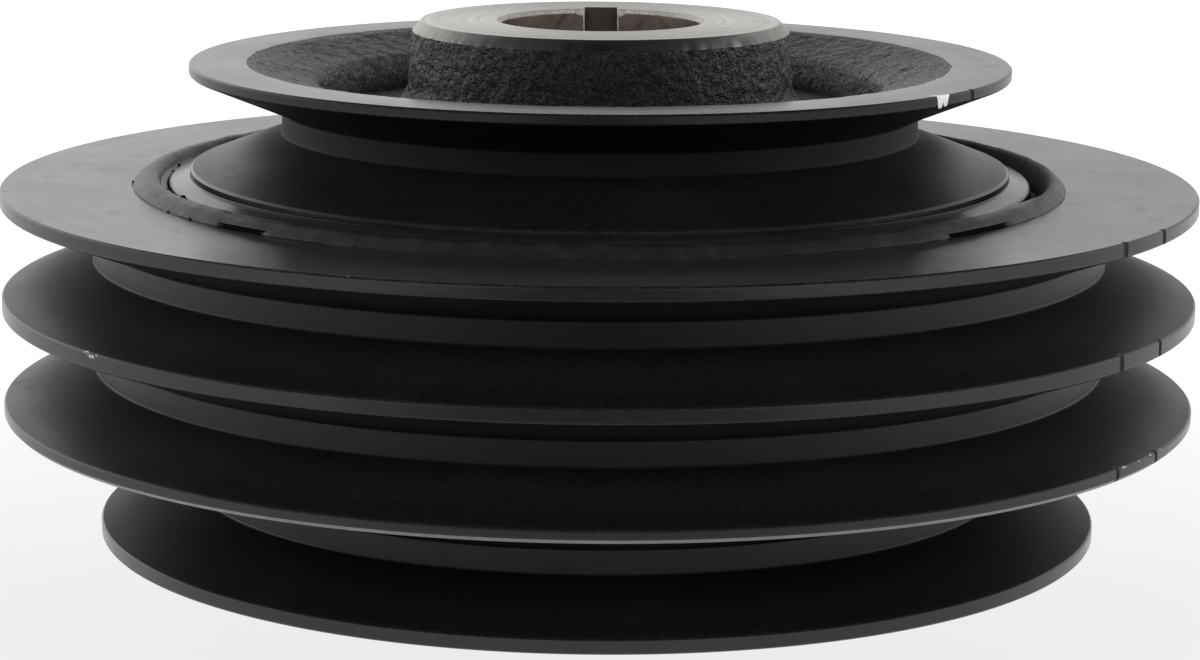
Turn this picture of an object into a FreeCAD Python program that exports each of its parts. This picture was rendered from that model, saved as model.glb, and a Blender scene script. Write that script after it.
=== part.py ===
import FreeCAD, Part
import os
from math import degrees, sin, tan

# V-belt crankshaft pulley with a rubber-isolated outer ring.
# Millimetres. +Z is the shaft axis, pointing to the front of the engine.
# The origin is on the axis at the rear face of the outer ring, which the pulley stands on.
# The keyway is on the +Y side. Angles on the rims are counted from -Y towards +X.

# --- V-grooves (17 mm wide classical belt) ---
groove_mouth = 16.3
groove_floor = 4.6
floor_fillet = 0.6
edge_break = 0.3

# --- outer ring, rear to front ---
ring_rim_r = 107.5
ring_floor_r = 91.2
small_rim_r = 90.6
small_floor_r = 73.7
rear_land = 2.7
third_land = 1.7
third_chamfer = 0.7
third_cone_rise = 3.6
second_land = 2.9
front_land = 2.6
ring_rear_bore_r = 67.0
ring_shoulder_z = 21.0
ring_shoulder_fillet = 2.0
ring_bore_chamfer = 1.0

# --- rubber isolator ---
isolator_inner_r = 77.6
isolator_outer_r = 83.86
bond_gap = 0.03
isolator_rear_z = 27.5
bead_height = 2.0
bead_lip_r = 79.7
bead_crest_r = 81.4

# --- hub sheave, heights above the front face of the outer ring ---
hub_step_rise = 0.7
hub_step_slope = 0.9
hub_rim_r = 73.8
hub_floor_r = 57.3
hub_rear_rim_rise = 3.0
hub_floor_low_rise = 9.1
hub_floor_high_rise = 13.2
hub_front_rim_low_rise = 19.8
hub_front_face_rise = 21.8
machined_face_inner_r = 63.2
recess_lip_r = 51.0
recess_lip_rise = 18.2
recess_wall_foot_r = 49.4
recess_floor_rise = 13.0
recess_floor_fillet = 2.6
recess_lip_fillet = 2.6

# --- hub boss, web and rear rim ---
boss_front_rise = 29.1
boss_face_r = 32.3
boss_chamfer_r = 33.9
boss_chamfer_drop = 1.9
boss_base_r = 34.9
boss_base_fillet = 5.5
boss_rear_z = 22.0
boss_rear_r = 31.0
boss_rear_chamfer = 1.0
web_rear_z = 57.0
web_fillet = 6.0
rim_rear_z = 26.0
rim_inner_r = 66.0
rim_rear_chamfer = 1.0

# --- shaft bore and keyway ---
bore_r = 18.0
bore_chamfer = 0.75
key_width = 6.0
key_depth_from_bore = 3.5

# --- timing marks ---
notch_width = 1.4
notch_depth = 1.0
ring_notch_angles = (53.6, 61.9)
hub_notch_angle = 59.2
paint_angle = 51.5
paint_width = 3.0
paint_thickness = 0.12
paint_reach_on_face = 1.3


# --- heights derived from the dimensions above ---
rear_groove_top_z = rear_land + groove_mouth
third_rim_bottom_z = rear_groove_top_z + third_cone_rise
third_face_z = third_rim_bottom_z + third_chamfer + third_land
second_rim_bottom_z = third_face_z + groove_mouth
second_face_z = second_rim_bottom_z + second_land
front_rim_bottom_z = second_face_z + groove_mouth
ring_face_z = front_rim_bottom_z + front_land
hub_front_face_z = ring_face_z + hub_front_face_rise
hub_front_rim_low_z = ring_face_z + hub_front_rim_low_rise
boss_front_z = ring_face_z + boss_front_rise


def turned(corners, angle=360.0):
    """Turn a closed outline about the Z axis.

    A corner is (radius, height) or (radius, height, fillet): a fillet rounds that corner.
    """
    points = [FreeCAD.Vector(corner[0], 0, corner[1]) for corner in corners]
    fillets = [corner[2] if len(corner) > 2 else 0.0 for corner in corners]
    count = len(points)
    entries = []
    exits = []
    arcs = []
    for index, point in enumerate(points):
        to_last = (points[index - 1] - point).normalize()
        to_next = (points[(index + 1) % count] - point).normalize()
        half_angle = to_last.getAngle(to_next) / 2
        reach = fillets[index] / tan(half_angle)
        entries.append(point + to_last * reach)
        exits.append(point + to_next * reach)
        if fillets[index] > 0:
            inward = (to_last + to_next).normalize()
            middle = point + inward * (fillets[index] / sin(half_angle) - fillets[index])
            arcs.append(Part.Arc(entries[index], middle, exits[index]).toShape())
        else:
            arcs.append(None)
    edges = []
    for index in range(count):
        if arcs[index]:
            edges.append(arcs[index])
        edges.append(Part.LineSegment(exits[index], entries[(index + 1) % count]).toShape())
    face = Part.Face(Part.Wire(edges))
    return face.revolve(FreeCAD.Vector(0, 0, 0), FreeCAD.Vector(0, 0, 1), angle)


def vee(rim_r, floor_r, low_z, high_z, floor_low_z, floor_high_z):
    """Corners of one V-groove, from its front lip down to its rear lip."""
    return [
        (rim_r - edge_break, high_z),
        (floor_r, floor_high_z, floor_fillet),
        (floor_r, floor_low_z, floor_fillet),
        (rim_r - edge_break, low_z),
    ]


def even_vee(rim_r, floor_r, low_z):
    """Corners of a V-groove with a centred floor, whose rear lip is at low_z."""
    centre_z = low_z + groove_mouth / 2
    half_floor = groove_floor / 2
    return vee(rim_r, floor_r, low_z, low_z + groove_mouth, centre_z - half_floor, centre_z + half_floor)


def at_angle(shape, angle):
    """Carry a shape made on the -Y side round the axis towards +X."""
    shape.rotate(FreeCAD.Vector(0, 0, 0), FreeCAD.Vector(0, 0, 1), angle)
    return shape


def rim_notch(rim_r, low_z, high_z, angle):
    """Cutter for one timing notch, right through the height of a rim."""
    cutter = Part.makeBox(
        notch_width,
        2 * notch_depth,
        high_z - low_z,
        FreeCAD.Vector(-notch_width / 2, -rim_r - notch_depth, low_z),
    )
    return at_angle(cutter, angle)


def make_damper_ring():
    """Outer iron ring: three V-grooves outside, the isolator's bore and a rear shoulder inside."""
    outline = [
        (isolator_outer_r, ring_face_z),
        (ring_rim_r - edge_break, ring_face_z),
        (ring_rim_r, ring_face_z - edge_break),
        (ring_rim_r, front_rim_bottom_z + edge_break),
    ]
    outline += even_vee(ring_rim_r, ring_floor_r, second_face_z)
    outline += [
        (ring_rim_r, second_face_z - edge_break),
        (ring_rim_r, second_rim_bottom_z + edge_break),
    ]
    outline += even_vee(ring_rim_r, ring_floor_r, third_face_z)
    outline += [
        (ring_rim_r, third_face_z - edge_break),
        (ring_rim_r, third_rim_bottom_z + third_chamfer),
        (ring_rim_r - third_chamfer, third_rim_bottom_z),
    ]
    outline += even_vee(small_rim_r, small_floor_r, rear_land)
    outline += [
        (small_rim_r, rear_land - edge_break),
        (small_rim_r, edge_break),
        (small_rim_r - edge_break, 0),
        (ring_rear_bore_r + ring_bore_chamfer, 0),
        (ring_rear_bore_r, ring_bore_chamfer),
        (ring_rear_bore_r, ring_shoulder_z - ring_bore_chamfer),
        (ring_rear_bore_r + ring_bore_chamfer, ring_shoulder_z),
        (isolator_outer_r, ring_shoulder_z, ring_shoulder_fillet),
    ]
    ring = turned(outline)
    for angle in ring_notch_angles:
        for low_z, high_z in (
            (front_rim_bottom_z - notch_depth, ring_face_z),
            (second_rim_bottom_z - notch_depth, second_face_z + notch_depth),
            (third_rim_bottom_z - notch_depth, third_face_z + notch_depth),
        ):
            ring = ring.cut(rim_notch(ring_rim_r, low_z, high_z, angle))
    return ring


def make_pulley_hub():
    """Iron casting: keyed boss, web, front sheave and the rim that the isolator is bonded to."""
    step_z = ring_face_z + hub_step_rise
    outline = [
        (bore_r, boss_rear_z + bore_chamfer),
        (bore_r, boss_front_z - bore_chamfer),
        (bore_r + bore_chamfer, boss_front_z),
        (boss_face_r, boss_front_z),
        (boss_chamfer_r, boss_front_z - boss_chamfer_drop),
        (boss_base_r, ring_face_z + recess_floor_rise, boss_base_fillet),
        (recess_wall_foot_r, ring_face_z + recess_floor_rise, recess_floor_fillet),
        (recess_lip_r, ring_face_z + recess_lip_rise, recess_lip_fillet),
        (machined_face_inner_r, hub_front_face_z),
        (hub_rim_r - edge_break, hub_front_face_z),
        (hub_rim_r, hub_front_face_z - edge_break),
        (hub_rim_r, hub_front_rim_low_z + edge_break),
    ]
    outline += vee(
        hub_rim_r,
        hub_floor_r,
        ring_face_z + hub_rear_rim_rise,
        hub_front_rim_low_z,
        ring_face_z + hub_floor_low_rise,
        ring_face_z + hub_floor_high_rise,
    )
    outline += [
        (hub_rim_r, ring_face_z + hub_rear_rim_rise - edge_break),
        (hub_rim_r, step_z + hub_step_slope),
        (isolator_inner_r - edge_break, step_z),
        (isolator_inner_r, step_z - edge_break),
        (isolator_inner_r, rim_rear_z + rim_rear_chamfer),
        (isolator_inner_r - rim_rear_chamfer, rim_rear_z),
        (rim_inner_r + rim_rear_chamfer, rim_rear_z),
        (rim_inner_r, rim_rear_z + rim_rear_chamfer),
        (rim_inner_r, web_rear_z, web_fillet),
        (boss_rear_r, web_rear_z, web_fillet),
        (boss_rear_r, boss_rear_z + boss_rear_chamfer),
        (boss_rear_r - boss_rear_chamfer, boss_rear_z),
        (bore_r + bore_chamfer, boss_rear_z),
    ]
    hub = turned(outline)
    keyway = Part.makeBox(
        key_width,
        bore_r + key_depth_from_bore,
        boss_front_z - boss_rear_z,
        FreeCAD.Vector(-key_width / 2, 0, boss_rear_z),
    )
    notch = rim_notch(hub_rim_r, hub_front_rim_low_z - notch_depth, hub_front_face_z, hub_notch_angle)
    return hub.cut(keyway).cut(notch)


def make_rubber_isolator():
    """Rubber ring in the gap between hub and outer ring, with a bead that bulges out at the front."""
    outer_r = isolator_outer_r - bond_gap
    seam_z = ring_face_z + hub_step_rise - edge_break
    crest_z = ring_face_z + bead_height
    valley_r = isolator_inner_r + edge_break
    lip_z = crest_z - edge_break
    return turned([
        (isolator_inner_r, seam_z),
        (isolator_inner_r, isolator_rear_z),
        (outer_r, isolator_rear_z),
        (outer_r, ring_face_z),
        (outer_r, crest_z, bead_height / 2),
        (bead_crest_r, crest_z),
        (bead_lip_r, lip_z, edge_break),
        (valley_r, seam_z - edge_break),
    ])


def make_timing_paint(hub):
    """Thin daub of paint over the front rim's edge, beside the timing notch."""
    sweep = degrees(paint_width / hub_rim_r)
    block = turned(
        [
            (hub_rim_r - paint_reach_on_face, hub_front_face_z + paint_thickness),
            (hub_rim_r + paint_thickness, hub_front_face_z + paint_thickness, paint_thickness),
            (hub_rim_r + paint_thickness, hub_front_rim_low_z + edge_break),
            (hub_rim_r - paint_reach_on_face, hub_front_rim_low_z + edge_break),
        ],
        sweep,
    )
    centred = at_angle(block, paint_angle - sweep / 2 - 90)
    return centred.cut(hub)


def export(shape, node):
    """Write one node, after making sure that it is sound."""
    if shape.ShapeType == "Compound" and len(shape.Solids) == 1:
        shape = shape.Solids[0]
    if not shape.isValid() or len(shape.Solids) != 1:
        raise ValueError("unsound solid: " + node)
    shape.exportStep("parts/" + node + ".step")
    print(node, "volume", round(shape.Volume / 1000, 2), "cm3")


os.makedirs("parts", exist_ok=True)
pulley_hub = make_pulley_hub()
export(pulley_hub, "pulley_hub")
export(make_rubber_isolator(), "rubber_isolator")
export(make_damper_ring(), "damper_ring")
export(make_timing_paint(pulley_hub), "timing_paint")
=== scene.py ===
import bmesh
import bpy
import math
import numpy as np
from mathutils import Matrix, Vector, noise


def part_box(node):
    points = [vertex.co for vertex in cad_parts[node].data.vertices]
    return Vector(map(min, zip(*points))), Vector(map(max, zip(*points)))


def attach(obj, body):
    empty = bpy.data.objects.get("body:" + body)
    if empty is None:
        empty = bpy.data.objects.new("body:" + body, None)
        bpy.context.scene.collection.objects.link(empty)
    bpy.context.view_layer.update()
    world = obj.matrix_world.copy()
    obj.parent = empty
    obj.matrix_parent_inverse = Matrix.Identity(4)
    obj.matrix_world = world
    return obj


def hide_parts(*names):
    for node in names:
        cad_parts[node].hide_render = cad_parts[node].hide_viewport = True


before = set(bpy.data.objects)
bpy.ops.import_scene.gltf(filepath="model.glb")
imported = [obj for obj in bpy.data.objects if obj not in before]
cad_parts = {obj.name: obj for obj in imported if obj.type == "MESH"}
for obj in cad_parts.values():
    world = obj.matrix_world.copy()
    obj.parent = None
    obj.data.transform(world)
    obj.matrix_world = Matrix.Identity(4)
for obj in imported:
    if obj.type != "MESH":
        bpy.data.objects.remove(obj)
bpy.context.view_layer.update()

# Metres, in the CAD frame: +Z is the shaft axis, the keyway is on +Y and the camera is on -Y.
# Angles on the rims are in degrees, from -Y towards +X.
MM = 0.001

# --- places read from the frame ---
HUB_LOW, HUB_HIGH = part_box("pulley_hub")
RING_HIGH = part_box("damper_ring")[1]
RUBBER_LOW, RUBBER_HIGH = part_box("rubber_isolator")
RING_FACE = RING_HIGH.z
RING_RIM = RING_HIGH.x
BOSS_FRONT = HUB_HIGH.z
ISOLATOR_INNER = HUB_HIGH.x

# --- hub ---
HUB_RIM = 73.8 * MM
HUB_FACE = RING_FACE + 21.8 * MM
HUB_FLOOR = 57.3 * MM
HUB_POLISH = 66.0 * MM
HUB_RIM_INSIDE = 55.5 * MM
HUB_RIM_THICKNESS = 2.6 * MM
HUB_REAR_RIM_LOW = RING_FACE + 0.9 * MM
HUB_CONE_FOOT = RING_FACE + 3.3 * MM
BOSS_FACE_RIM = 32.3 * MM
BORE = 18.0 * MM
BORE_CHAMFER = 0.8 * MM
KEY_HALF = 3.0 * MM
KEY_TOP = 21.5 * MM
KEY_BEVEL = 0.35 * MM
KEY_CORNER_ANGLE = 168.5
KEY_CORNER_SIZE = 1.25 * MM
BOSS_REAR = 31.0 * MM
RIM_INNER = 66.01 * MM
RIM_REAR = 26.0 * MM
RECESS_FLOOR = RING_FACE + 13.0 * MM
RECESS_LIP = RING_FACE + 18.2 * MM
RECESS_LIP_RADIUS = 51.0 * MM

# --- outer ring ---
REAR_RIM = 90.6 * MM
REAR_FLOOR = 73.7 * MM
RING_FLOOR = 91.2 * MM
THIRD_RIM_LOW = RING_FACE - 40.5 * MM
THIRD_FACE = RING_FACE - 38.1 * MM
SECOND_FACE = RING_FACE - 18.9 * MM
RIM_CHAMFER = 0.75 * MM

# --- timing marks: a notch's angle, then its width and depth in mm on the front, middle and rear rim ---
NOTCHES = ((53.6, ((1.6, 0.9), (1.5, 1.0), (1.1, 1.1))),
           (61.9, ((1.6, 0.9), (1.3, 1.0), (1.3, 1.1))))
RIM_SPANS = ((59 * MM, 64 * MM), (40 * MM, 46 * MM), (21 * MM, 27 * MM))
HUB_NOTCH_ANGLE = 59.0
HUB_NOTCH_WIDTH = 1.3 * MM
HUB_NOTCH_DEPTH = 0.8 * MM
PAINT_ANGLE = 51.2
PAINT_WIDTH = 3.4 * MM
PAINT_THICKNESS = 0.12 * MM

# --- camera ---
CAMERA_RIGHT = 0.3 * MM
CAMERA_BACK = 643.57 * MM
CAMERA_ABOVE_RING_FACE = 98.35 * MM
CAMERA_PITCH = 11.089
CAMERA_ROLL = 0.461
CAMERA_LENS = 107.535
SENSOR = 36.0

# --- studio, in metres, degrees and watts ---
FLOOR_HALF = 6.0
FLOOR_SEGMENTS = 24
LAMP_WIDTH = 3.2
LAMP_HEIGHT = 1.2
LAMP_POWER = 60.0
LAMP_PLACE = (0, -1.9, 1.3)
LAMP_TILT = 56

# --- mesh density ---
COLUMNS = 512
RING_COLUMNS = 640
EDGE_ROUND = 0.11 * MM
WEAR_WIDTH = 0.3 * MM
SMOOTH_TURN = 30.0

# --- as-cast skin of the hub ---
CAST_INNER = 33.85 * MM
CAST_OUTER = 63.15 * MM
CAST_TOP_DROP = 1.85 * MM
CAST_OFFCENTRE = 0.35 * MM
WEB_MIDDLE = 64.0 * MM
BORDER_INSIDE = 60.0 * MM
BORDER_DEPTH = 2.0 * MM
BORDER_REACH = 1.6 * MM


# ---------------------------------------------------------------- outlines

def seam_outline(node_name):
    """Closed outline, (radius, height) pairs, of a turned CAD node, read along its seam on +X."""
    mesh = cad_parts[node_name].data
    on_seam = {v.index: (round(v.co.x, 7), round(v.co.z, 7))
               for v in mesh.vertices if abs(v.co.y) < 1e-7 and v.co.x > 0}
    links = {}
    for edge in mesh.edges:
        a, b = edge.vertices
        if a in on_seam and b in on_seam and on_seam[a] != on_seam[b]:
            links.setdefault(on_seam[a], set()).add(on_seam[b])
            links.setdefault(on_seam[b], set()).add(on_seam[a])
    start = min(links)
    walk = [start]
    last, here = None, start
    while True:
        onward = [point for point in sorted(links[here]) if point != last]
        last, here = here, onward[0]
        if here == start:
            break
        walk.append(here)
    area = sum(a[0] * b[1] - b[0] * a[1] for a, b in zip(walk, walk[1:] + walk[:1]))
    if area < 0:
        walk.reverse()
    return np.array(walk)


def turn_angle(before, corner, after):
    """Signed turn of an outline at a corner, in degrees; positive is a convex corner."""
    a = corner - before
    b = after - corner
    return math.degrees(math.atan2(a[0] * b[1] - a[1] * b[0], float(a @ b)))


def softened(outline, edge_round=EDGE_ROUND):
    """Round every corner: sharp ones by edge_round, the steps of a tessellated arc completely.

    Returns the points and, for each, how convex its edge is, from 0 to 1.
    """
    points = []
    convex = []
    count = len(outline)
    for i in range(count):
        before, corner, after = outline[i - 1], outline[i], outline[(i + 1) % count]
        turn = turn_angle(before, corner, after)
        if abs(turn) < 0.5:
            continue
        room = 0.45 * min(np.linalg.norm(corner - before), np.linalg.norm(after - corner))
        if abs(turn) < SMOOTH_TURN:
            reach, steps, edge = room, 2, 0.0
        else:
            reach = min(room, edge_round * math.tan(math.radians(abs(turn)) / 2) * 1.6)
            steps, edge = 3, max(0.0, min(1.0, turn / 45.0))
        enter = corner + (before - corner) / np.linalg.norm(before - corner) * reach
        leave = corner + (after - corner) / np.linalg.norm(after - corner) * reach
        for k in range(steps + 1):
            t = k / steps
            points.append((1 - t) ** 2 * enter + 2 * t * (1 - t) * corner + t ** 2 * leave)
            convex.append(edge)
    return np.array(points), np.array(convex)


def divided(points, convex, spacing_at):
    """Add points along the long runs, no further apart than spacing_at(radius, height).

    Beside a convex edge one more point, WEAR_WIDTH away, ends the wear of that edge.
    """
    rows = []
    edges = []
    count = len(points)
    for i in range(count):
        a, b = points[i], points[(i + 1) % count]
        length = np.linalg.norm(b - a)
        middle = (a + b) / 2
        pieces = max(1, math.ceil(length / spacing_at(middle[0], middle[1])))
        stops = [k / pieces for k in range(pieces)]
        if length > 3 * WEAR_WIDTH:
            if convex[i] > 0:
                stops.append(WEAR_WIDTH / length)
            if convex[(i + 1) % count] > 0:
                stops.append(1 - WEAR_WIDTH / length)
        for t in sorted(stops):
            rows.append(a + (b - a) * t)
            edges.append(convex[i] if t == 0 else 0.0)
    return np.array(rows), np.array(edges)


def outline_normals(rows):
    """Outward unit normal of each outline point."""
    along = np.roll(rows, -1, 0) - np.roll(rows, 1, 0)
    along /= np.linalg.norm(along, axis=1)[:, None]
    return np.stack([along[:, 1], -along[:, 0]], 1)


# ---------------------------------------------------------------- mesh helpers

def turned_mesh(name, rows, columns, offset=None, edges=None):
    """Mesh of a closed outline turned about Z.

    offset(row, angle, point) gives the shift (radius, height) of the outline there, or None for a row
    that stays as it is. edges, one value per row, is kept on the mesh for the finishes to read.
    """
    count = len(rows)
    angles = np.arange(columns) * 2 * math.pi / columns
    sheet = np.repeat(rows[:, None, :], columns, 1)
    if offset is not None:
        for j, (r, z) in enumerate(rows):
            for i, angle in enumerate(angles):
                shift = offset(j, angle, Vector((r * math.cos(angle), r * math.sin(angle), z)))
                if shift is None:
                    break
                sheet[j, i] += shift
    co = np.stack([sheet[..., 0] * np.cos(angles), sheet[..., 0] * np.sin(angles), sheet[..., 1]], -1)
    j, i = np.meshgrid(np.arange(count), np.arange(columns), indexing="ij")
    nj, ni = (j + 1) % count, (i + 1) % columns
    quads = np.stack([j * columns + i, j * columns + ni, nj * columns + ni, nj * columns + i], -1)
    mesh = bpy.data.meshes.new(name)
    mesh.from_pydata(co.reshape(-1, 3).tolist(), [], quads.reshape(-1, 4).tolist())
    if edges is not None:
        mark_vertices(mesh, "edge", np.repeat(edges, columns).astype(np.float32))
    mesh.update()
    return mesh


def mark_vertices(mesh, mark, values):
    """Keep one value per vertex on the mesh, for the finishes to read."""
    mesh.attributes.new(mark, "FLOAT", "POINT").data.foreach_set("value", values)


def strips(rows):
    """Middle (radius, height) of each strip between two outline points, and the sine of its slope."""
    following = np.roll(rows, -1, 0)
    along = following - rows
    return np.column_stack([(rows + following) / 2, along[:, 1] / np.linalg.norm(along, axis=1)])


def put_finishes(mesh, columns, finishes, strip_names):
    """Give a turned mesh its finishes; strip_names says which of them each strip of faces has."""
    for finish in finishes.values():
        mesh.materials.append(finish)
    slots = {name: slot for slot, name in enumerate(finishes)}
    for face in mesh.polygons:
        face.material_index = slots[strip_names[face.index // columns]]


def link(name, mesh):
    """New object with this mesh, in the scene."""
    piece = bpy.data.objects.new(name, mesh)
    bpy.context.scene.collection.objects.link(piece)
    return piece


def smooth(piece, limit=28.0):
    """Smooth shading; edges sharper than limit degrees, and those between finishes, stay sharp."""
    mesh = piece.data
    bm = bmesh.new()
    bm.from_mesh(mesh)
    for face in bm.faces:
        face.smooth = True
    for edge in bm.edges:
        if len(edge.link_faces) == 2:
            one, other = edge.link_faces
            edge.smooth = (edge.calc_face_angle() < math.radians(limit)
                           and one.material_index == other.material_index)
    bm.to_mesh(mesh)
    bm.free()


def cut(piece, cutters, finish):
    """Take the cutters away from the piece, give the cut faces their own finish, drop the cutters."""
    for cutter in cutters:
        cutter.data.materials.append(finish)
        difference = piece.modifiers.new("cut", "BOOLEAN")
        difference.operation = "DIFFERENCE"
        difference.solver = "MANIFOLD"
        difference.material_mode = "TRANSFER"
        difference.object = cutter
    bpy.context.view_layer.update()
    graph = bpy.context.evaluated_depsgraph_get()
    result = bpy.data.meshes.new_from_object(piece.evaluated_get(graph), depsgraph=graph)
    piece.modifiers.clear()
    piece.data = result
    for cutter in cutters:
        bpy.data.objects.remove(cutter)


def prism(name, outline, low, high):
    """Closed prism with a flat (x, y) outline, between two heights."""
    bm = bmesh.new()
    bottom = [bm.verts.new((x, y, low)) for x, y in outline]
    top = [bm.verts.new((x, y, high)) for x, y in outline]
    count = len(outline)
    bm.faces.new(list(reversed(bottom)))
    bm.faces.new(top)
    for i in range(count):
        n = (i + 1) % count
        bm.faces.new((bottom[i], bottom[n], top[n], top[i]))
    bmesh.ops.recalc_face_normals(bm, faces=bm.faces)
    mesh = bpy.data.meshes.new(name)
    bm.to_mesh(mesh)
    bm.free()
    return link(name, mesh)


def towards(angle):
    """Unit vector from the axis to a place on a rim."""
    a = math.radians(angle)
    return Vector((math.sin(a), -math.cos(a), 0))


def slot_cutter(name, radius, angle, width, depth, low, high):
    """Cutter for a timing notch: a saw cut with a rounded root, through a rim's whole height."""
    out = towards(angle)
    side = Vector((-out.y, out.x, 0))
    root = radius - depth + width / 2
    outline = [(radius + width, -width / 2), (radius + width, width / 2)]
    outline += [(root - width / 2 * math.sin(a), width / 2 * math.cos(a))
                for a in np.linspace(0, math.pi, 9)]
    flat = [(out * x + side * y).xy for x, y in outline]
    return prism(name, [tuple(p) for p in flat], low, high)


def chip_cutter(name, angle, radius, height, size, stretch=1.0):
    """Cutter for a small chip: a ragged pebble, stretched along the rim, centred on its edge."""
    out = towards(angle)
    side = Vector((-out.y, out.x, 0))
    bm = bmesh.new()
    bmesh.ops.create_icosphere(bm, subdivisions=2, radius=1.0)
    for vertex in bm.verts:
        ragged = 1 + 0.45 * noise.noise(vertex.co * 1.7 + Vector((angle, height * 1000, 0)))
        local = vertex.co * ragged * size
        vertex.co = out * (radius + local.x) + side * local.y * stretch
        vertex.co.z = height + local.z
    mesh = bpy.data.meshes.new(name)
    bm.to_mesh(mesh)
    bm.free()
    return link(name, mesh)


# ---------------------------------------------------------------- material helpers

class Nodes:
    """A material's node tree, with short calls for the nodes that the finishes use."""

    def __init__(self, name):
        self.material = bpy.data.materials.new(name)
        self.material.use_nodes = True
        self.tree = self.material.node_tree
        self.shader = self.tree.nodes["Principled BSDF"]

    def add(self, kind, settings=None, **inputs):
        node = self.tree.nodes.new(kind)
        for key, value in (settings or {}).items():
            setattr(node, key, value)
        for key, value in inputs.items():
            self.feed(node, key.replace("_", " "), value)
        return node

    def feed(self, node, socket, value):
        target = node.inputs[socket]
        if isinstance(value, bpy.types.NodeSocket):
            self.tree.links.new(value, target)
        else:
            target.default_value = value

    def maths(self, operation, a, b=None):
        node = self.tree.nodes.new("ShaderNodeMath")
        node.operation = operation
        self.feed(node, 0, a)
        if b is not None:
            self.feed(node, 1, b)
        return node.outputs[0]

    def ramp(self, value, low, high, to_low=0.0, to_high=1.0):
        """The value eased over from to_low, at low, to to_high, at high."""
        node = self.tree.nodes.new("ShaderNodeMapRange")
        node.interpolation_type = "SMOOTHSTEP"
        for socket, number in enumerate((value, low, high, to_low, to_high)):
            self.feed(node, socket, number)
        return node.outputs[0]

    def mix(self, factor, a, b):
        node = self.tree.nodes.new("ShaderNodeMix")
        node.data_type = "RGBA"
        self.feed(node, 0, factor)
        self.feed(node, 6, a)
        self.feed(node, 7, b)
        return node.outputs[2]

    def place(self):
        """Object coordinates, in metres."""
        return self.tree.nodes.new("ShaderNodeTexCoord").outputs["Object"]

    def polar(self):
        """(radius, height, 0) of a place: noise over it makes the rings that a lathe leaves."""
        parts = self.add("ShaderNodeSeparateXYZ", Vector=self.place()).outputs
        radius = self.maths("SQRT", self.maths("ADD", self.maths("MULTIPLY", parts[0], parts[0]),
                                               self.maths("MULTIPLY", parts[1], parts[1])))
        return self.add("ShaderNodeCombineXYZ", X=radius, Y=parts[2]).outputs[0]

    def noise(self, vector, size, detail=2.0, roughness=0.5, distortion=0.0):
        """Noise whose features are about size metres across."""
        node = self.add("ShaderNodeTexNoise", Vector=vector, Scale=1.0 / size, Detail=detail,
                        Roughness=roughness, Distortion=distortion)
        return node.outputs[0]

    def bump(self, height, distance, normal=None, strength=1.0):
        node = self.add("ShaderNodeBump", Height=height, Distance=distance, Strength=strength)
        if normal is not None:
            self.feed(node, "Normal", normal)
        return node.outputs[0]

    def finish(self, **inputs):
        """Feed the shader's inputs and return the material."""
        for key, value in inputs.items():
            self.feed(self.shader, key.replace("_", " "), value)
        return self.material


def grey(value, warm=0.0):
    """Grey of this value; warm makes it a little redder and less blue."""
    return (value * (1 + warm), value, value * (1 - warm), 1.0)


# ---------------------------------------------------------------- finishes

def coated_iron(name, rough, ring_depth, dark, light, ior, painted_shade_by_radius=None):
    """Black conversion coat over turned iron; rough(nodes) gives its roughness before the smudges.

    Dust lies on level faces and lightens them; the optional function, if given, scales that lightening
    from place to place, which paints shade and light into it.
    """
    n = Nodes(name)
    place = n.place()
    polar = n.polar()
    mottle = n.noise(place, 1.3 * MM, detail=4.0)
    smudge = n.noise(place, 21 * MM, detail=4.0, distortion=0.3)
    rings = n.noise(polar, 0.5 * MM, detail=3.0)
    bands = n.noise(polar, 2.6 * MM, detail=2.0)
    specks = n.noise(place, 0.55 * MM, detail=1.0)
    stains = n.ramp(n.noise(place, 6 * MM, detail=3.0), 0.60, 0.70)
    edge = n.add("ShaderNodeAttribute", {"attribute_name": "edge"}).outputs["Fac"]
    facing = n.tree.nodes.new("ShaderNodeNewGeometry").outputs["Normal"]
    upwards = n.add("ShaderNodeSeparateXYZ", Vector=facing).outputs[2]
    dust_and_painted_shade = n.maths("MULTIPLY", n.ramp(upwards, 0.93, 1.0), n.ramp(smudge, 0.25, 0.7, 0.85, 1.0))
    if painted_shade_by_radius is not None:
        dust_and_painted_shade = n.maths("MULTIPLY", dust_and_painted_shade, painted_shade_by_radius(n))
    worn = n.ramp(n.maths("ADD", n.maths("MULTIPLY", edge, 0.4), n.noise(place, 0.8 * MM)), 0.88, 1.1)
    base = n.mix(n.ramp(mottle, 0.3, 0.72), grey(dark, 0.02), grey(light, 0.02))
    base = n.mix(n.ramp(smudge, 0.5, 0.75, 0.0, 0.5), base, grey(light * 1.5, 0.025))
    # Dust lightens the colour; on the ring's faces this lightening also carries painted shade and light
    # by radius.
    base = n.mix(dust_and_painted_shade, base, grey(light * 5, 0.025))
    base = n.mix(n.ramp(specks, 0.72, 0.8, 0.0, 0.5), base, grey(0.03, 0.025))
    base = n.mix(worn, base, grey(0.015, 0.02))
    spread = n.maths("ADD", n.ramp(smudge, 0.35, 0.68, -0.012, 0.014), n.maths("MULTIPLY", bands, 0.03))
    spread = n.maths("ADD", spread, n.maths("MULTIPLY", stains, 0.035))
    normal = n.bump(rings, ring_depth)
    normal = n.bump(mottle, 0.018 * MM, normal)
    return n.finish(Base_Color=base, Roughness=n.maths("ADD", rough(n), spread), Normal=normal, IOR=ior)


def coated_face_iron():
    """The coat on the flat faces."""
    return coated_iron("coated_face_iron", lambda n: 0.25, 0.008 * MM, 0.0045, 0.0065, 1.56)


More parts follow.
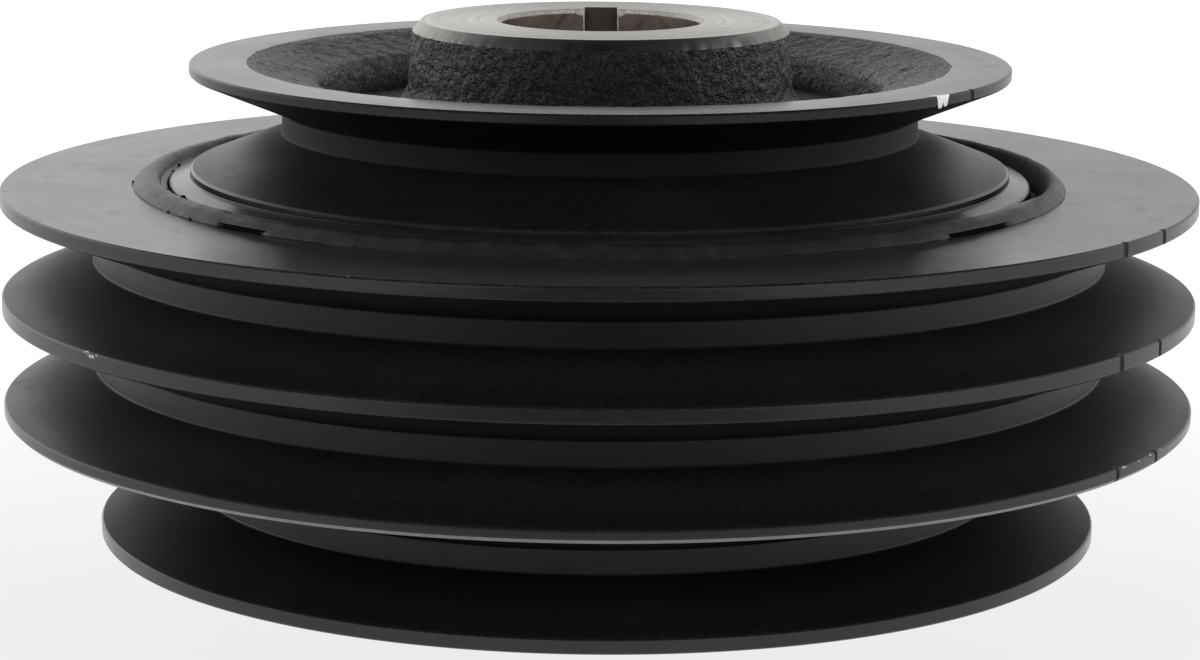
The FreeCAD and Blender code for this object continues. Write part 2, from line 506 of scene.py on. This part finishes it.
def coated_ring_face_iron():
    """The same on the outer ring's faces, with the dust's lightening scaled by radius: painted darker
    near the rubber, as painted shade where the hub takes the light away, and lighter near the rim, as
    painted light.
    """
    def painted_shade_by_radius(n):
        radius = n.add("ShaderNodeSeparateXYZ", Vector=n.polar()).outputs[0]
        # Painted shade and light: the dust's lightening runs from little near the rubber to full near
        # the rim.
        return n.ramp(radius, 88 * MM, 104 * MM, 0.35, 1.15)
    return coated_iron("coated_ring_face_iron", lambda n: 0.25, 0.008 * MM, 0.0045, 0.0065, 1.56, painted_shade_by_radius)


def coated_rim_iron():
    """The coat on the rims, which were cut with a finer feed."""
    return coated_iron("coated_rim_iron", lambda n: 0.17, 0.006 * MM, 0.0045, 0.0065, 1.56)


def coated_groove_iron(name="coated_groove_iron", near_rim=0.40, ior=1.45):
    """The coat in the belt grooves: rougher at the floor, smoother where a belt rubs near the rim."""
    def rough(n):
        depth = n.add("ShaderNodeAttribute", {"attribute_name": "groove_height"}).outputs["Fac"]
        return n.ramp(depth, 0.25, 1.0, 0.62, near_rim)
    return coated_iron(name, rough, 0.02 * MM, 0.004, 0.006, ior)


def coated_hub_rim_iron():
    """The coat on the hub's rims, a little duller than on the outer ring's."""
    return coated_iron("coated_hub_rim_iron", lambda n: 0.19, 0.006 * MM, 0.0045, 0.0065, 1.42)


def coated_floor_iron():
    """The coat on the grooves' floors, where no belt reaches."""
    return coated_iron("coated_floor_iron", lambda n: 0.40, 0.012 * MM, 0.004, 0.006, 1.46)


def burnished_iron(name, shine):
    """Chamfers cut last: the coat is thin and the metal shines through."""
    n = Nodes(name)
    rings = n.noise(n.polar(), 0.3 * MM, detail=3.0)
    base = n.mix(n.ramp(n.noise(n.place(), 2.0 * MM, detail=3.0), 0.35, 0.7), grey(shine, 0.02),
                 grey(shine * 1.2, 0.02))
    return n.finish(Base_Color=base, Metallic=1.0, Roughness=0.34, Normal=n.bump(rings, 0.005 * MM))


def sawn_iron():
    """Walls of the timing notches, a little lighter than the coat round them."""
    n = Nodes("sawn_iron")
    grain = n.noise(n.place(), 0.3 * MM, detail=2.0)
    base = n.mix(grain, grey(0.02, 0.05), grey(0.05, 0.05))
    return n.finish(Base_Color=base, Roughness=0.42, Normal=n.bump(grain, 0.03 * MM))


def coated_cast_iron():
    """The same black coat over the rough skin of sand-cast iron; deep in the recess its colour is
    painted darker and its sheen lower, as painted shade.
    """
    n = Nodes("coated_cast_iron")
    place = n.place()
    grain = n.noise(place, 1.0 * MM, detail=2.0, roughness=0.6)
    worms = n.noise(place, 0.62 * MM, detail=1.0, distortion=1.2)
    fine = n.noise(place, 0.3 * MM, detail=2.0)
    patch = n.noise(place, 9 * MM, detail=2.0)
    pits = n.ramp(worms, 0.34, 0.48)
    height = n.add("ShaderNodeSeparateXYZ", Vector=place).outputs[2]
    # Painted shade: 0 deep in the recess, 1 near its lip.
    above_painted_recess_shade = n.ramp(height, RECESS_FLOOR, RECESS_LIP - 0.8 * MM)
    base = n.mix(n.ramp(grain, 0.35, 0.7), grey(0.006, 0.05), grey(0.0135, 0.08))
    base = n.mix(n.ramp(patch, 0.5, 0.75, 0.0, 0.4), base, grey(0.016, 0.1))
    base = n.mix(pits, grey(0.0045), base)
    # Painted shade in the recess: the colour darkens and the sheen drops towards its floor.
    base = n.mix(above_painted_recess_shade, grey(0.003), base)
    sheen = n.maths("MULTIPLY", n.ramp(above_painted_recess_shade, 0.0, 1.0, 0.12, 0.66),
                    n.ramp(pits, 0.0, 1.0, 0.55, 1.0))
    rough = n.ramp(fine, 0.3, 0.7, 0.38, 0.52)
    relief = n.maths("ADD", grain, n.maths("MULTIPLY", pits, 0.35))
    normal = n.bump(relief, 0.34 * MM)
    normal = n.bump(worms, 0.1 * MM, normal)
    return n.finish(Base_Color=base, Roughness=rough, Normal=normal, IOR=1.6, Specular_IOR_Level=sheen)


def bare_turned_iron():
    """Bare metal left by the last cut across the boss face."""
    n = Nodes("bare_turned_iron")
    place = n.place()
    polar = n.polar()
    rings = n.noise(polar, 0.35 * MM, detail=3.0)
    bands = n.noise(polar, 1.6 * MM, detail=3.0)
    stain = n.noise(place, 5 * MM, detail=4.0, distortion=0.5)
    base = n.mix(bands, grey(0.38, 0.02), grey(0.47, 0.02))
    base = n.mix(n.ramp(stain, 0.5, 0.78, 0.0, 0.35), base, grey(0.24, 0.07))
    rough = n.ramp(rings, 0.3, 0.7, 0.3, 0.42)
    normal = n.bump(rings, 0.02 * MM)
    tangent = n.add("ShaderNodeTangent", {"direction_type": "RADIAL"}).outputs[0]
    return n.finish(Base_Color=base, Metallic=0.9, Roughness=rough, Normal=normal,
                    Anisotropic=0.5, Anisotropic_Rotation=0.25, Tangent=tangent)


def bare_bored_iron():
    """Bare metal of the bore, with a first film of rust."""
    n = Nodes("bare_bored_iron")
    place = n.place()
    rings = n.noise(n.polar(), 0.4 * MM, detail=3.0)
    stain = n.noise(place, 3 * MM, detail=5.0, distortion=0.8)
    base = n.mix(n.ramp(stain, 0.3, 0.8), (0.30, 0.26, 0.235, 1), (0.17, 0.125, 0.105, 1))
    rough = n.ramp(stain, 0.3, 0.7, 0.26, 0.4)
    return n.finish(Base_Color=base, Metallic=0.75, Roughness=rough, Normal=n.bump(rings, 0.02 * MM))


def deburred_glint_iron():
    """Bare metal where the bore's mouth and the keyway's corners were chamfered by hand; its light grey
    is partly a painted highlight, standing in for glints on those edges.
    """
    n = Nodes("deburred_glint_iron")
    grain = n.noise(n.place(), 0.5 * MM, detail=3.0)
    # Painted highlight: the light grey stands in for glints on the chamfers.
    base = n.mix(n.ramp(grain, 0.3, 0.7), grey(0.26, 0.04), grey(0.5, 0.02))
    return n.finish(Base_Color=base, Metallic=0.2, Roughness=0.4, Normal=n.bump(grain, 0.03 * MM))


def chipped_iron():
    """Fresh metal where a rim has been knocked."""
    n = Nodes("chipped_iron")
    grain = n.noise(n.place(), 0.25 * MM, detail=3.0)
    base = n.mix(n.ramp(grain, 0.4, 0.6), grey(0.03, 0.03), grey(0.75, 0.03))
    return n.finish(Base_Color=base, Metallic=0.3, Roughness=0.5, Normal=n.bump(grain, 0.08 * MM))


def keyway_iron():
    """Walls of the keyway, left dark by the broach."""
    n = Nodes("keyway_iron")
    grain = n.noise(n.place(), 0.6 * MM, detail=3.0)
    base = n.mix(grain, (0.04, 0.036, 0.032, 1), (0.09, 0.08, 0.07, 1))
    return n.finish(Base_Color=base, Metallic=0.5, Roughness=0.5, Normal=n.bump(grain, 0.03 * MM))


def isolator_rubber():
    """Moulded rubber with a light film of dust; in the crevices its colour is painted darker and its
    sheen lower, as painted shade.
    """
    n = Nodes("isolator_rubber")
    place = n.place()
    grain = n.noise(place, 0.5 * MM, detail=3.0)
    blotch = n.noise(place, 4 * MM, detail=3.0)
    base = n.mix(n.ramp(blotch, 0.4, 0.75), (0.010, 0.0090, 0.0087, 1),
                 (0.019, 0.0168, 0.0160, 1))
    # Painted shade: the crevices are marked on the mesh and darkened here.
    painted_crevice_shade = n.add("ShaderNodeAttribute", {"attribute_name": "painted_crevice_shade"}).outputs["Fac"]
    base = n.mix(painted_crevice_shade, base, grey(0.004, 0.1))
    rough = n.ramp(grain, 0.3, 0.7, 0.34, 0.46)
    normal = n.bump(grain, 0.03 * MM)
    sheen = n.ramp(painted_crevice_shade, 0.0, 1.0, 0.5, 0.06)
    rough = n.maths("ADD", rough, n.maths("MULTIPLY", painted_crevice_shade, 0.25))
    return n.finish(Base_Color=base, Roughness=rough, Normal=normal, IOR=1.5,
                    Specular_IOR_Level=sheen)


def marking_paint():
    """Thick white paint, brushed on in one dab."""
    n = Nodes("marking_paint")
    streak = n.noise(n.place(), 0.35 * MM, detail=2.0)
    base = n.mix(n.ramp(streak, 0.3, 0.7), (0.86, 0.86, 0.85, 1), (0.95, 0.95, 0.94, 1))
    return n.finish(Base_Color=base, Roughness=0.42, Normal=n.bump(streak, 0.03 * MM))


# ---------------------------------------------------------------- hub

def front_cast(r, z):
    """True on the rough front skin of the hub, between the boss's top and the machined face."""
    inside_groove = r > HUB_RIM_INSIDE and z < HUB_FACE - HUB_RIM_THICKNESS
    return (z > WEB_MIDDLE and CAST_INNER < r < CAST_OUTER and z < BOSS_FRONT - CAST_TOP_DROP
            and not inside_groove)


def rear_cast(r, z):
    """True on the rough rear skin of the hub, under the web."""
    return z < WEB_MIDDLE and BOSS_REAR < r < RIM_INNER and z > RIM_REAR + 1 * MM


def skin_height(point):
    """How far the as-cast skin stands out at a point, in metres."""
    swell = noise.noise(point / (9 * MM)) * 0.16
    lumps = noise.noise(point / (2.1 * MM) + Vector((7, 0, 0))) * 0.19
    grain = noise.noise(point / (1.0 * MM) + Vector((0, 5, 0))) * 0.13
    return (swell + lumps + grain) * MM


def border_wave(angle, seed):
    """How far the casting's border wanders where a machined face cuts through its skin."""
    ring = Vector((math.cos(angle), math.sin(angle), 0))
    wander = (noise.noise(ring * 9 + Vector((0, 0, seed))) * 0.4
              + noise.noise(ring * 40 + Vector((0, 0, seed))) * 0.3) * MM
    return wander - CAST_OFFCENTRE * math.cos(angle)


def mark_groove_height(piece, floor_and_rim):
    """Mark where each vertex stands in its belt groove: 0 at the floor, 1 at the rim.

    floor_and_rim(height) gives the groove's two radii. Done after the cuts, so that it holds there too.
    """
    heights = []
    for vertex in piece.data.vertices:
        floor_radius, rim_radius = floor_and_rim(vertex.co.z)
        radius = math.hypot(vertex.co.x, vertex.co.y)
        heights.append(max(0.0, min(1.0, (radius - floor_radius) / (rim_radius - floor_radius))))
    mark_vertices(piece.data, "groove_height", heights)


def hub_spacing(r, z):
    """How far apart the hub's outline points lie at most: close on the skin that is seen."""
    if front_cast(r, z):
        return 0.5 * MM
    if rear_cast(r, z):
        return 2.8 * MM
    return 8 * MM


def hub_finish(r, z):
    """Name of the finish at a place on the hub's outline."""
    if r < BOSS_FACE_RIM + 0.05 * MM and z > BOSS_FRONT - 0.1 * MM:
        return "turned"
    # The bore's chamfer: bare metal with a painted highlight.
    if BORE + 0.05 * MM < r < BORE + BORE_CHAMFER and z > BOSS_FRONT - 1 * MM:
        return "deburred_glint"
    if r < BORE + BORE_CHAMFER:
        return "bored"
    if r < CAST_INNER + 0.05 * MM and z > BOSS_FRONT - CAST_TOP_DROP - 0.05 * MM:
        return "burnished"
    if front_cast(r, z) or rear_cast(r, z):
        return "cast"
    if HUB_CONE_FOOT < z < HUB_FACE - 0.1 * MM and RECESS_LIP_RADIUS < r < HUB_RIM - 0.2 * MM:
        return "groove"
    if r > HUB_RIM - 0.1 * MM and z > HUB_REAR_RIM_LOW:
        return "rim"
    return "face"


def make_hub():
    """The hub: turned outline, rough skin on its cast parts, a wavy border round the machined face."""
    points, convex = softened(seam_outline("pulley_hub"))
    rows, edges = divided(points, convex, hub_spacing)
    normals = outline_normals(rows)

    def offset(j, angle, point):
        r, z = rows[j]
        if rear_cast(r, z):
            return normals[j] * skin_height(point)
        if z < WEB_MIDDLE:
            return None
        near_border = max(0.0, 1 - abs(r - CAST_OUTER) / BORDER_REACH)
        if r > BORDER_INSIDE and z > HUB_FACE - BORDER_DEPTH and near_border > 0:
            slide = np.array([border_wave(angle, 0) * near_border, 0.0])
            if not front_cast(r, z):
                return slide
            return slide + normals[j] * skin_height(point) * (1 - near_border)
        if front_cast(r, z):
            return normals[j] * skin_height(point)
        return None

    mesh = turned_mesh("hub_body", rows, COLUMNS, offset, edges)
    finishes = {"face": coated_face_iron(), "cast": coated_cast_iron(), "turned": bare_turned_iron(),
                "bored": bare_bored_iron(), "groove": coated_groove_iron(),
                "rim": coated_hub_rim_iron(),
                "burnished": burnished_iron("burnished_boss", 0.25), "deburred_glint": deburred_glint_iron()}
    put_finishes(mesh, COLUMNS, finishes, [hub_finish(r, z) for r, z, _ in strips(rows)])
    return link("hub_body", mesh)


def square_key(half, top):
    """Outline of the keyway's square slot, from the axis outwards along +Y."""
    return [(-half, 0), (half, 0), (half, top), (-half, top)]


def key_bevel(x, y, reach):
    """Outline of the bevel along a corner between keyway and bore."""
    return [(x - reach, y), (x, y - reach), (x + reach, y), (x, y + reach)]


hub = make_hub()
below_hub, above_hub = HUB_LOW.z - 1 * MM, BOSS_FRONT + 1 * MM
cut(hub, [prism("keyway", square_key(KEY_HALF, KEY_TOP), below_hub, above_hub)], keyway_iron())
corner_y = math.sqrt(BORE ** 2 - KEY_HALF ** 2)
bevels = [prism("key_bevel", key_bevel(x, corner_y, KEY_BEVEL), below_hub, above_hub)
          for x in (-KEY_HALF, KEY_HALF)]
bevels += [chip_cutter("key_corner", angle, BORE - 0.1 * MM, BOSS_FRONT, KEY_CORNER_SIZE)
           for angle in (-KEY_CORNER_ANGLE, KEY_CORNER_ANGLE)]
# The keyway's bevels and corners take the same bare metal with a painted highlight.
cut(hub, bevels, deburred_glint_iron())
cut(hub, [slot_cutter("hub_notch", HUB_RIM, HUB_NOTCH_ANGLE, HUB_NOTCH_WIDTH, HUB_NOTCH_DEPTH,
                      HUB_FACE - 3 * MM, HUB_FACE + 1 * MM)], sawn_iron())
mark_groove_height(hub, lambda z: (HUB_FLOOR, HUB_POLISH))
smooth(hub)
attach(hub, "hub")
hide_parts("pulley_hub")


# ---------------------------------------------------------------- outer ring

def in_ring_groove(r, z):
    """True on the flanks and floors of the outer ring's three belt grooves."""
    rim = RING_RIM if z > THIRD_RIM_LOW + 0.1 * MM else REAR_RIM
    return r > 70 * MM and z < RING_FACE - 0.3 * MM and r < rim - 0.3 * MM


def ring_finish(r, z, rise):
    """Name of the finish at a place on the ring's outline; rise is the sine of the outline's slope."""
    on_chamfer = r > RING_RIM - RIM_CHAMFER and abs(z - THIRD_RIM_LOW - 0.35 * MM) < 0.4 * MM
    if on_chamfer and abs(rise) < 0.9:
        return "burnished"
    if in_ring_groove(r, z) and rise > 0.9:
        return "floor"
    if in_ring_groove(r, z) and rise > 0.05:
        return "groove" if z > THIRD_RIM_LOW else "rear_groove"
    if rise > 0.9 and r > 80 * MM:
        return "rim"
    return "face"


def make_ring():
    """The outer ring, all of it turned."""
    points, convex = softened(seam_outline("damper_ring"))
    rows, edges = divided(points, convex, lambda r, z: 8 * MM)
    mesh = turned_mesh("ring_body", rows, RING_COLUMNS, edges=edges)
    finishes = {"face": coated_ring_face_iron(), "groove": coated_groove_iron(),
                "floor": coated_floor_iron(), "burnished": burnished_iron("burnished_rim", 0.19),
                "rim": coated_rim_iron(),
                "rear_groove": coated_groove_iron("coated_rear_groove_iron", 0.5, 1.34)}
    put_finishes(mesh, RING_COLUMNS, finishes, [ring_finish(*strip) for strip in strips(rows)])
    return link("ring_body", mesh)


# Knocks on the rims' upper edges: (angle, height of the edge, size in mm, stretch along the rim).
KNOCKS = ((54.9, THIRD_FACE, 0.34, 3.4), (56.5, THIRD_FACE, 0.22, 2.2), (57.9, THIRD_FACE, 0.27, 3.0),
          (59.4, THIRD_FACE, 0.24, 2.2), (60.7, THIRD_FACE, 0.38, 2.0), (63.2, THIRD_FACE, 0.3, 1.8),
          (49.2, THIRD_FACE, 0.2, 3.0), (46.2, THIRD_FACE, 0.15, 2.0), (-51.5, SECOND_FACE, 0.42, 2.2),
          (-50.6, SECOND_FACE - 0.6 * MM, 0.4, 2.6), (-49.7, SECOND_FACE - 0.1 * MM, 0.3, 1.6),
          (-21.1, RING_FACE, 0.24, 1.2), (-62.8, RING_FACE, 0.24, 1.0), (36.0, SECOND_FACE, 0.14, 1.5))

ring = make_ring()
notches = []
for angle, sizes in NOTCHES:
    for (width, depth), (low, high) in zip(sizes, RIM_SPANS):
        notches.append(slot_cutter("notch", RING_RIM, angle, width * MM, depth * MM, low, high))
cut(ring, notches, sawn_iron())
cut(ring, [chip_cutter("knock", angle, RING_RIM, height, size * MM, stretch)
           for angle, height, size, stretch in KNOCKS], chipped_iron())
mark_groove_height(ring, lambda z: (RING_FLOOR, RING_RIM) if z > THIRD_RIM_LOW - 0.05 * MM
                   else (REAR_FLOOR, REAR_RIM))
smooth(ring)
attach(ring, "ring")
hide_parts("damper_ring")


# ---------------------------------------------------------------- isolator

# The bead from the hub's edge to the ring's bore: (radius, height above the ring's face) in mm.
# A narrow flat strip lies next to the hub, and the moulded ridge stands outside it.
BEAD = ((77.75, -0.5), (77.95, 0.15), (78.5, 0.35), (79.0, 0.45), (79.2, 0.9), (79.45, 1.4),
        (79.9, 1.8), (80.5, 2.0), (81.2, 2.0), (81.9, 1.85), (82.6, 1.5), (83.2, 1.0), (83.65, 0.5),
        (84.0, 0.05), (83.82, -0.2))

# Where the strip beside the hub has sunk and the ridge leans outwards: start and end angle, fade;
# then how far each of them moves, in mm.
SUNK = (72.0, 152.0, 8.0)
STRIP_SINKS = 2.6
RIDGE_LEANS = 1.2

# Where the ridge's outer foot has drawn in from the ring, leaving a slot: start and end angle, fade;
# then the foot's inner radius, its height above the ring's face and how far it has moved, in mm.
LIFTED = ((-48.3, -41.8, 0.7), (45.0, 54.3, 2.0))
FOOT_INNER = 82.0
FOOT_RISE = 0.5
FOOT_DRAWS_IN = 0.9

# Crumbs of moulding flash: (angle, radius in mm, height above the ring's face in mm, size in mm).
CRUMBS = ((-98, 78.3, 0.5, 0.28), (-93, 78.0, 0.4, 0.2), (-75, 78.7, 0.7, 0.3),
          (-68.5, 77.7, 0.6, 0.5), (-66.9, 78.0, 0.5, 0.3), (-84.3, 84.0, 0.2, 0.25),
          (-55, 84.1, 0.15, 0.24), (-61, 84.0, 0.2, 0.18), (12, 78.3, 0.4, 0.2),
          (-28, 84.0, 0.2, 0.2), (100, 84.0, 0.15, 0.22))


def window(angle, start, end, fade):
    """1 between two angles in degrees, falling to 0 over the fade outside them."""
    rise = max(0.0, min(1.0, (angle - start) / fade + 1))
    fall = max(0.0, min(1.0, (end - angle) / fade + 1))
    return rise * rise * (3 - 2 * rise) * fall * fall * (3 - 2 * fall)


def bead_shift(r, rise, angle):
    """How the bead's outline moves at an angle, in mm; r and rise are in mm."""
    sunk = window(angle, *SUNK)
    strip = max(0.0, min(1.0, (79.6 - r) / 0.5))
    ridge = max(0.0, min(1.0, (82.6 - r) / 2.4))
    lifted = max(window(angle, *place) for place in LIFTED)
    foot = 1.0 if r > FOOT_INNER and rise < FOOT_RISE else 0.0
    outwards = RIDGE_LEANS * sunk * ridge * (1 - strip) - FOOT_DRAWS_IN * lifted * foot
    return np.array([outwards, -STRIP_SINKS * sunk * strip])


def make_isolator():
    """The rubber: a plain ring down in the gap, and the moulded bead on its front."""
    low = RUBBER_LOW.z
    inner = ISOLATOR_INNER + 0.02 * MM
    outer = RUBBER_HIGH.x
    body = [(inner, RING_FACE - 4.0 * MM), (inner, low), (outer, low), (outer, RING_FACE - 0.6 * MM)]
    bead = [(r * MM, RING_FACE + z * MM) for r, z in reversed(BEAD)]
    points = np.array(body + bead)
    area = sum(a[0] * b[1] - b[0] * a[1] for a, b in zip(points, np.roll(points, -1, 0)))
    if area < 0:
        points = points[::-1]
    points, convex = softened(points)
    rows = divided(points, convex, lambda r, z: 0.4 * MM if z > RING_FACE - 1 * MM else 4 * MM)[0]
    normals = outline_normals(rows)

    def offset(j, angle, point):
        r, z = rows[j] / MM
        rise = z - RING_FACE / MM
        if rise < -0.55:
            return None
        from_front = (math.degrees(angle) + 270) % 360 - 180
        shift = bead_shift(r, rise, from_front) * MM
        if rise < 0.05:
            return shift
        swell = noise.noise(point / (7 * MM)) * 0.14
        grain = noise.noise(point / (1.4 * MM)) * 0.07
        return shift + normals[j] * (swell + grain) * MM

    mesh = turned_mesh("isolator_body", rows, COLUMNS, offset)
    # Painted shade: the slot under the drawn-in foot, and the sunk strip beside the hub, are marked for
    # a darker colour and less sheen.
    painted_crevice_shade = []
    for vertex in mesh.vertices:
        x, y, z = vertex.co / MM
        radius = math.hypot(x, y)
        rise = z - RING_FACE / MM
        drawn_in = FOOT_INNER < radius < 83.3 and -0.5 < rise < FOOT_RISE + 0.05
        sunk = window(math.degrees(math.atan2(x, -y)) % 360, *SUNK)
        painted_crevice_shade.append(1.0 if drawn_in else sunk * max(0.0, min(1.0, (82.4 - radius) / 1.8)))
    mark_vertices(mesh, "painted_crevice_shade", painted_crevice_shade)
    bm = bmesh.new()
    bm.from_mesh(mesh)
    for angle, radius, rise, size in CRUMBS:
        centre = towards(angle) * radius * MM + Vector((0, 0, RING_FACE + rise * MM))
        crumb = bmesh.ops.create_icosphere(bm, subdivisions=2, radius=1.0)
        for vertex in crumb["verts"]:
            ragged = 1 + 0.6 * noise.noise(vertex.co * 1.4 + Vector((angle, 0, 0)))
            vertex.co = centre + vertex.co * ragged * size * MM
    bm.to_mesh(mesh)
    bm.free()
    return link("isolator_body", mesh)


rubber = make_isolator()
rubber.data.materials.append(isolator_rubber())
smooth(rubber)
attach(rubber, "hub")
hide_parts("rubber_isolator")


# ---------------------------------------------------------------- marking paint

def make_paint():
    """One dab of the brush over the rim's upper edge: ragged on the face, two runs down the rim."""
    columns = 24
    rows = 16
    angle_width = math.degrees(PAINT_WIDTH / HUB_RIM)
    lower = []
    upper = []
    for i in range(columns + 1):
        t = i / columns
        wobble = noise.noise(Vector((t * 7, 3, 0))) * 0.15
        reach = (0.3 + 1.5 * math.exp(-t / 0.22) + wobble) * MM
        run = (2.15 - 0.35 * t - 0.85 * math.exp(-((t - 0.52) / 0.07) ** 2) + wobble) * MM
        ends = max(0.1, min(1.0, 8 * t, 10 * (1 - t)))
        out = towards(PAINT_ANGLE + (t - 0.5) * angle_width)
        for sheet, lift in ((lower, -0.03 * MM), (upper, PAINT_THICKNESS)):
            line = []
            for k in range(rows + 1):
                along = (k / rows) * (reach + run * ends) - reach
                thin = lift * min(1.0, 3 * k / rows, 3 * (1 - k / rows)) if lift > 0 else lift
                if along < 0:
                    place = out * (HUB_RIM + along) + Vector((0, 0, HUB_FACE + thin))
                else:
                    place = out * (HUB_RIM + thin) + Vector((0, 0, HUB_FACE - along))
                line.append(place)
            sheet.append(line)
    bm = bmesh.new()
    bottom = [[bm.verts.new(place) for place in line] for line in lower]
    top = [[bm.verts.new(place) for place in line] for line in upper]
    for i in range(columns):
        for k in range(rows):
            bm.faces.new((top[i][k], top[i + 1][k], top[i + 1][k + 1], top[i][k + 1]))
            bm.faces.new((bottom[i][k], bottom[i][k + 1], bottom[i + 1][k + 1], bottom[i + 1][k]))
    rim = [(i, 0) for i in range(columns)] + [(columns, k) for k in range(rows)]
    rim += [(i, rows) for i in range(columns, 0, -1)] + [(0, k) for k in range(rows, 0, -1)]
    for (i, k), (ni, nk) in zip(rim, rim[1:] + rim[:1]):
        bm.faces.new((top[i][k], bottom[i][k], bottom[ni][nk], top[ni][nk]))
    bmesh.ops.recalc_face_normals(bm, faces=bm.faces)
    mesh = bpy.data.meshes.new("paint_dab")
    bm.to_mesh(mesh)
    bm.free()
    mesh.materials.append(marking_paint())
    return link("paint_dab", mesh)


paint = make_paint()
smooth(paint, 50.0)
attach(paint, "hub")
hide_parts("timing_paint")


# ---------------------------------------------------------------- studio

def grid_piece(name, segments, size):
    """Flat square grid at height 0, size to each side of the axis."""
    bm = bmesh.new()
    bmesh.ops.create_grid(bm, x_segments=segments, y_segments=segments, size=size)
    mesh = bpy.data.meshes.new(name)
    bm.to_mesh(mesh)
    bm.free()
    return link(name, mesh)


def make_floor():
    """Wide white table top, lit a little from below as a light table is; on the sheet the camera sees,
    the glow is painted lower near the object and in front, as painted shade round its base, and higher
    further back, as painted light.

    One sheet is what the camera sees. The other, at the same place, is what the object reflects:
    it is dark in front, where the camera's side of the studio throws no light.
    """
    for name, dark_front in (("floor", False), ("floor_light", True)):
        floor = grid_piece(name, FLOOR_SEGMENTS, FLOOR_HALF)
        n = Nodes(name + "_white")
        parts = n.add("ShaderNodeSeparateXYZ", Vector=n.place()).outputs
        away = n.maths("SQRT", n.maths("ADD", n.maths("MULTIPLY", parts[0], parts[0]),
                                       n.maths("MULTIPLY", parts[1], parts[1])))
        if dark_front:
            dark = n.maths("MULTIPLY", n.ramp(parts[1], -0.30, -0.10, 1.0, 0.0),
                           n.ramp(n.maths("ABSOLUTE", parts[0]), 0.10, 0.28, 1.0, 0.0))
            glow = n.maths("SUBTRACT", 0.72, n.maths("MULTIPLY", dark, 0.61))
        else:
            # Painted shade and light: less glow near the object and in front, more further back.
            glow = n.ramp(away, 0.09, 0.24, 0.58, 0.75)
            glow = n.maths("ADD", glow, n.ramp(parts[1], 0.1, 0.6, 0.0, 0.1))
            glow = n.maths("ADD", glow, n.ramp(parts[1], -0.11, 0.05, -0.015, 0.07))
        floor.data.materials.append(n.finish(
            Base_Color=(0.3, 0.3, 0.297, 1), Roughness=0.9, Specular_IOR_Level=0.1,
            Emission_Color=(0.995, 1, 0.985, 1), Emission_Strength=glow))
        floor.visible_camera = not dark_front
        floor.visible_glossy = dark_front
        floor.visible_diffuse = dark_front


# How the studio's light fades with the direction it comes from: axis, two values of that axis of the
# direction, and the strength at each. It is brightest on the left, behind and at the far right, and
# dark in front and overhead.
WORLD_FADES = (("X", -0.5, 0.5, 1.30, 0.78), ("X", 0.5, 0.95, 1.0, 1.6),
               ("Y", -0.55, 0.0, 0.10, 1.0), ("Z", 0.38, 0.8, 1.0, 0.08))


def make_world():
    """Studio light: the product of the fades above."""
    world = bpy.data.worlds.new("studio_light")
    bpy.context.scene.world = world
    world.use_nodes = True
    tree = world.node_tree
    direction = tree.nodes.new("ShaderNodeTexCoord").outputs["Generated"]
    parts = tree.nodes.new("ShaderNodeSeparateXYZ")
    tree.links.new(direction, parts.inputs[0])
    strength = None
    for axis, low, high, at_low, at_high in WORLD_FADES:
        fade = tree.nodes.new("ShaderNodeMapRange")
        fade.interpolation_type = "SMOOTHSTEP"
        tree.links.new(parts.outputs[axis], fade.inputs[0])
        for socket, number in enumerate((low, high, at_low, at_high), start=1):
            fade.inputs[socket].default_value = number
        if strength is None:
            strength = fade.outputs[0]
        else:
            product = tree.nodes.new("ShaderNodeMath")
            product.operation = "MULTIPLY"
            tree.links.new(strength, product.inputs[0])
            tree.links.new(fade.outputs[0], product.inputs[1])
            strength = product.outputs[0]
    background = tree.nodes["Background"]
    tree.links.new(strength, background.inputs["Strength"])
    background.inputs["Color"].default_value = (1.0, 0.986, 0.96, 1)


def make_fill_light():
    """A wide soft lamp in front, above the camera; too soft to show in the coat's gloss."""
    lamp = bpy.data.objects.new("fill_light", bpy.data.lights.new("fill_light", "AREA"))
    bpy.context.scene.collection.objects.link(lamp)
    lamp.data.shape = "RECTANGLE"
    lamp.data.size = LAMP_WIDTH
    lamp.data.size_y = LAMP_HEIGHT
    lamp.data.energy = LAMP_POWER
    lamp.location = LAMP_PLACE
    lamp.rotation_euler = (math.radians(LAMP_TILT), 0, 0)
    lamp.visible_glossy = False
    lamp.visible_camera = False


def make_camera():
    """Camera in front of the object, a little above it, nearly level."""
    camera = bpy.data.objects.new("camera", bpy.data.cameras.new("camera"))
    bpy.context.scene.collection.objects.link(camera)
    camera.data.lens = CAMERA_LENS
    camera.data.sensor_width = SENSOR
    camera.data.clip_start = 0.05
    camera.data.clip_end = 30
    eye = Matrix.Translation((CAMERA_RIGHT, -CAMERA_BACK, RING_FACE + CAMERA_ABOVE_RING_FACE))
    pitch = Matrix.Rotation(math.radians(90 - CAMERA_PITCH), 4, "X")
    roll = Matrix.Rotation(math.radians(CAMERA_ROLL), 4, "Z")
    camera.matrix_world = eye @ pitch @ roll
    bpy.context.scene.camera = camera


make_floor()
make_world()
make_fill_light()
make_camera()
bpy.context.scene.view_settings.view_transform = "Standard"
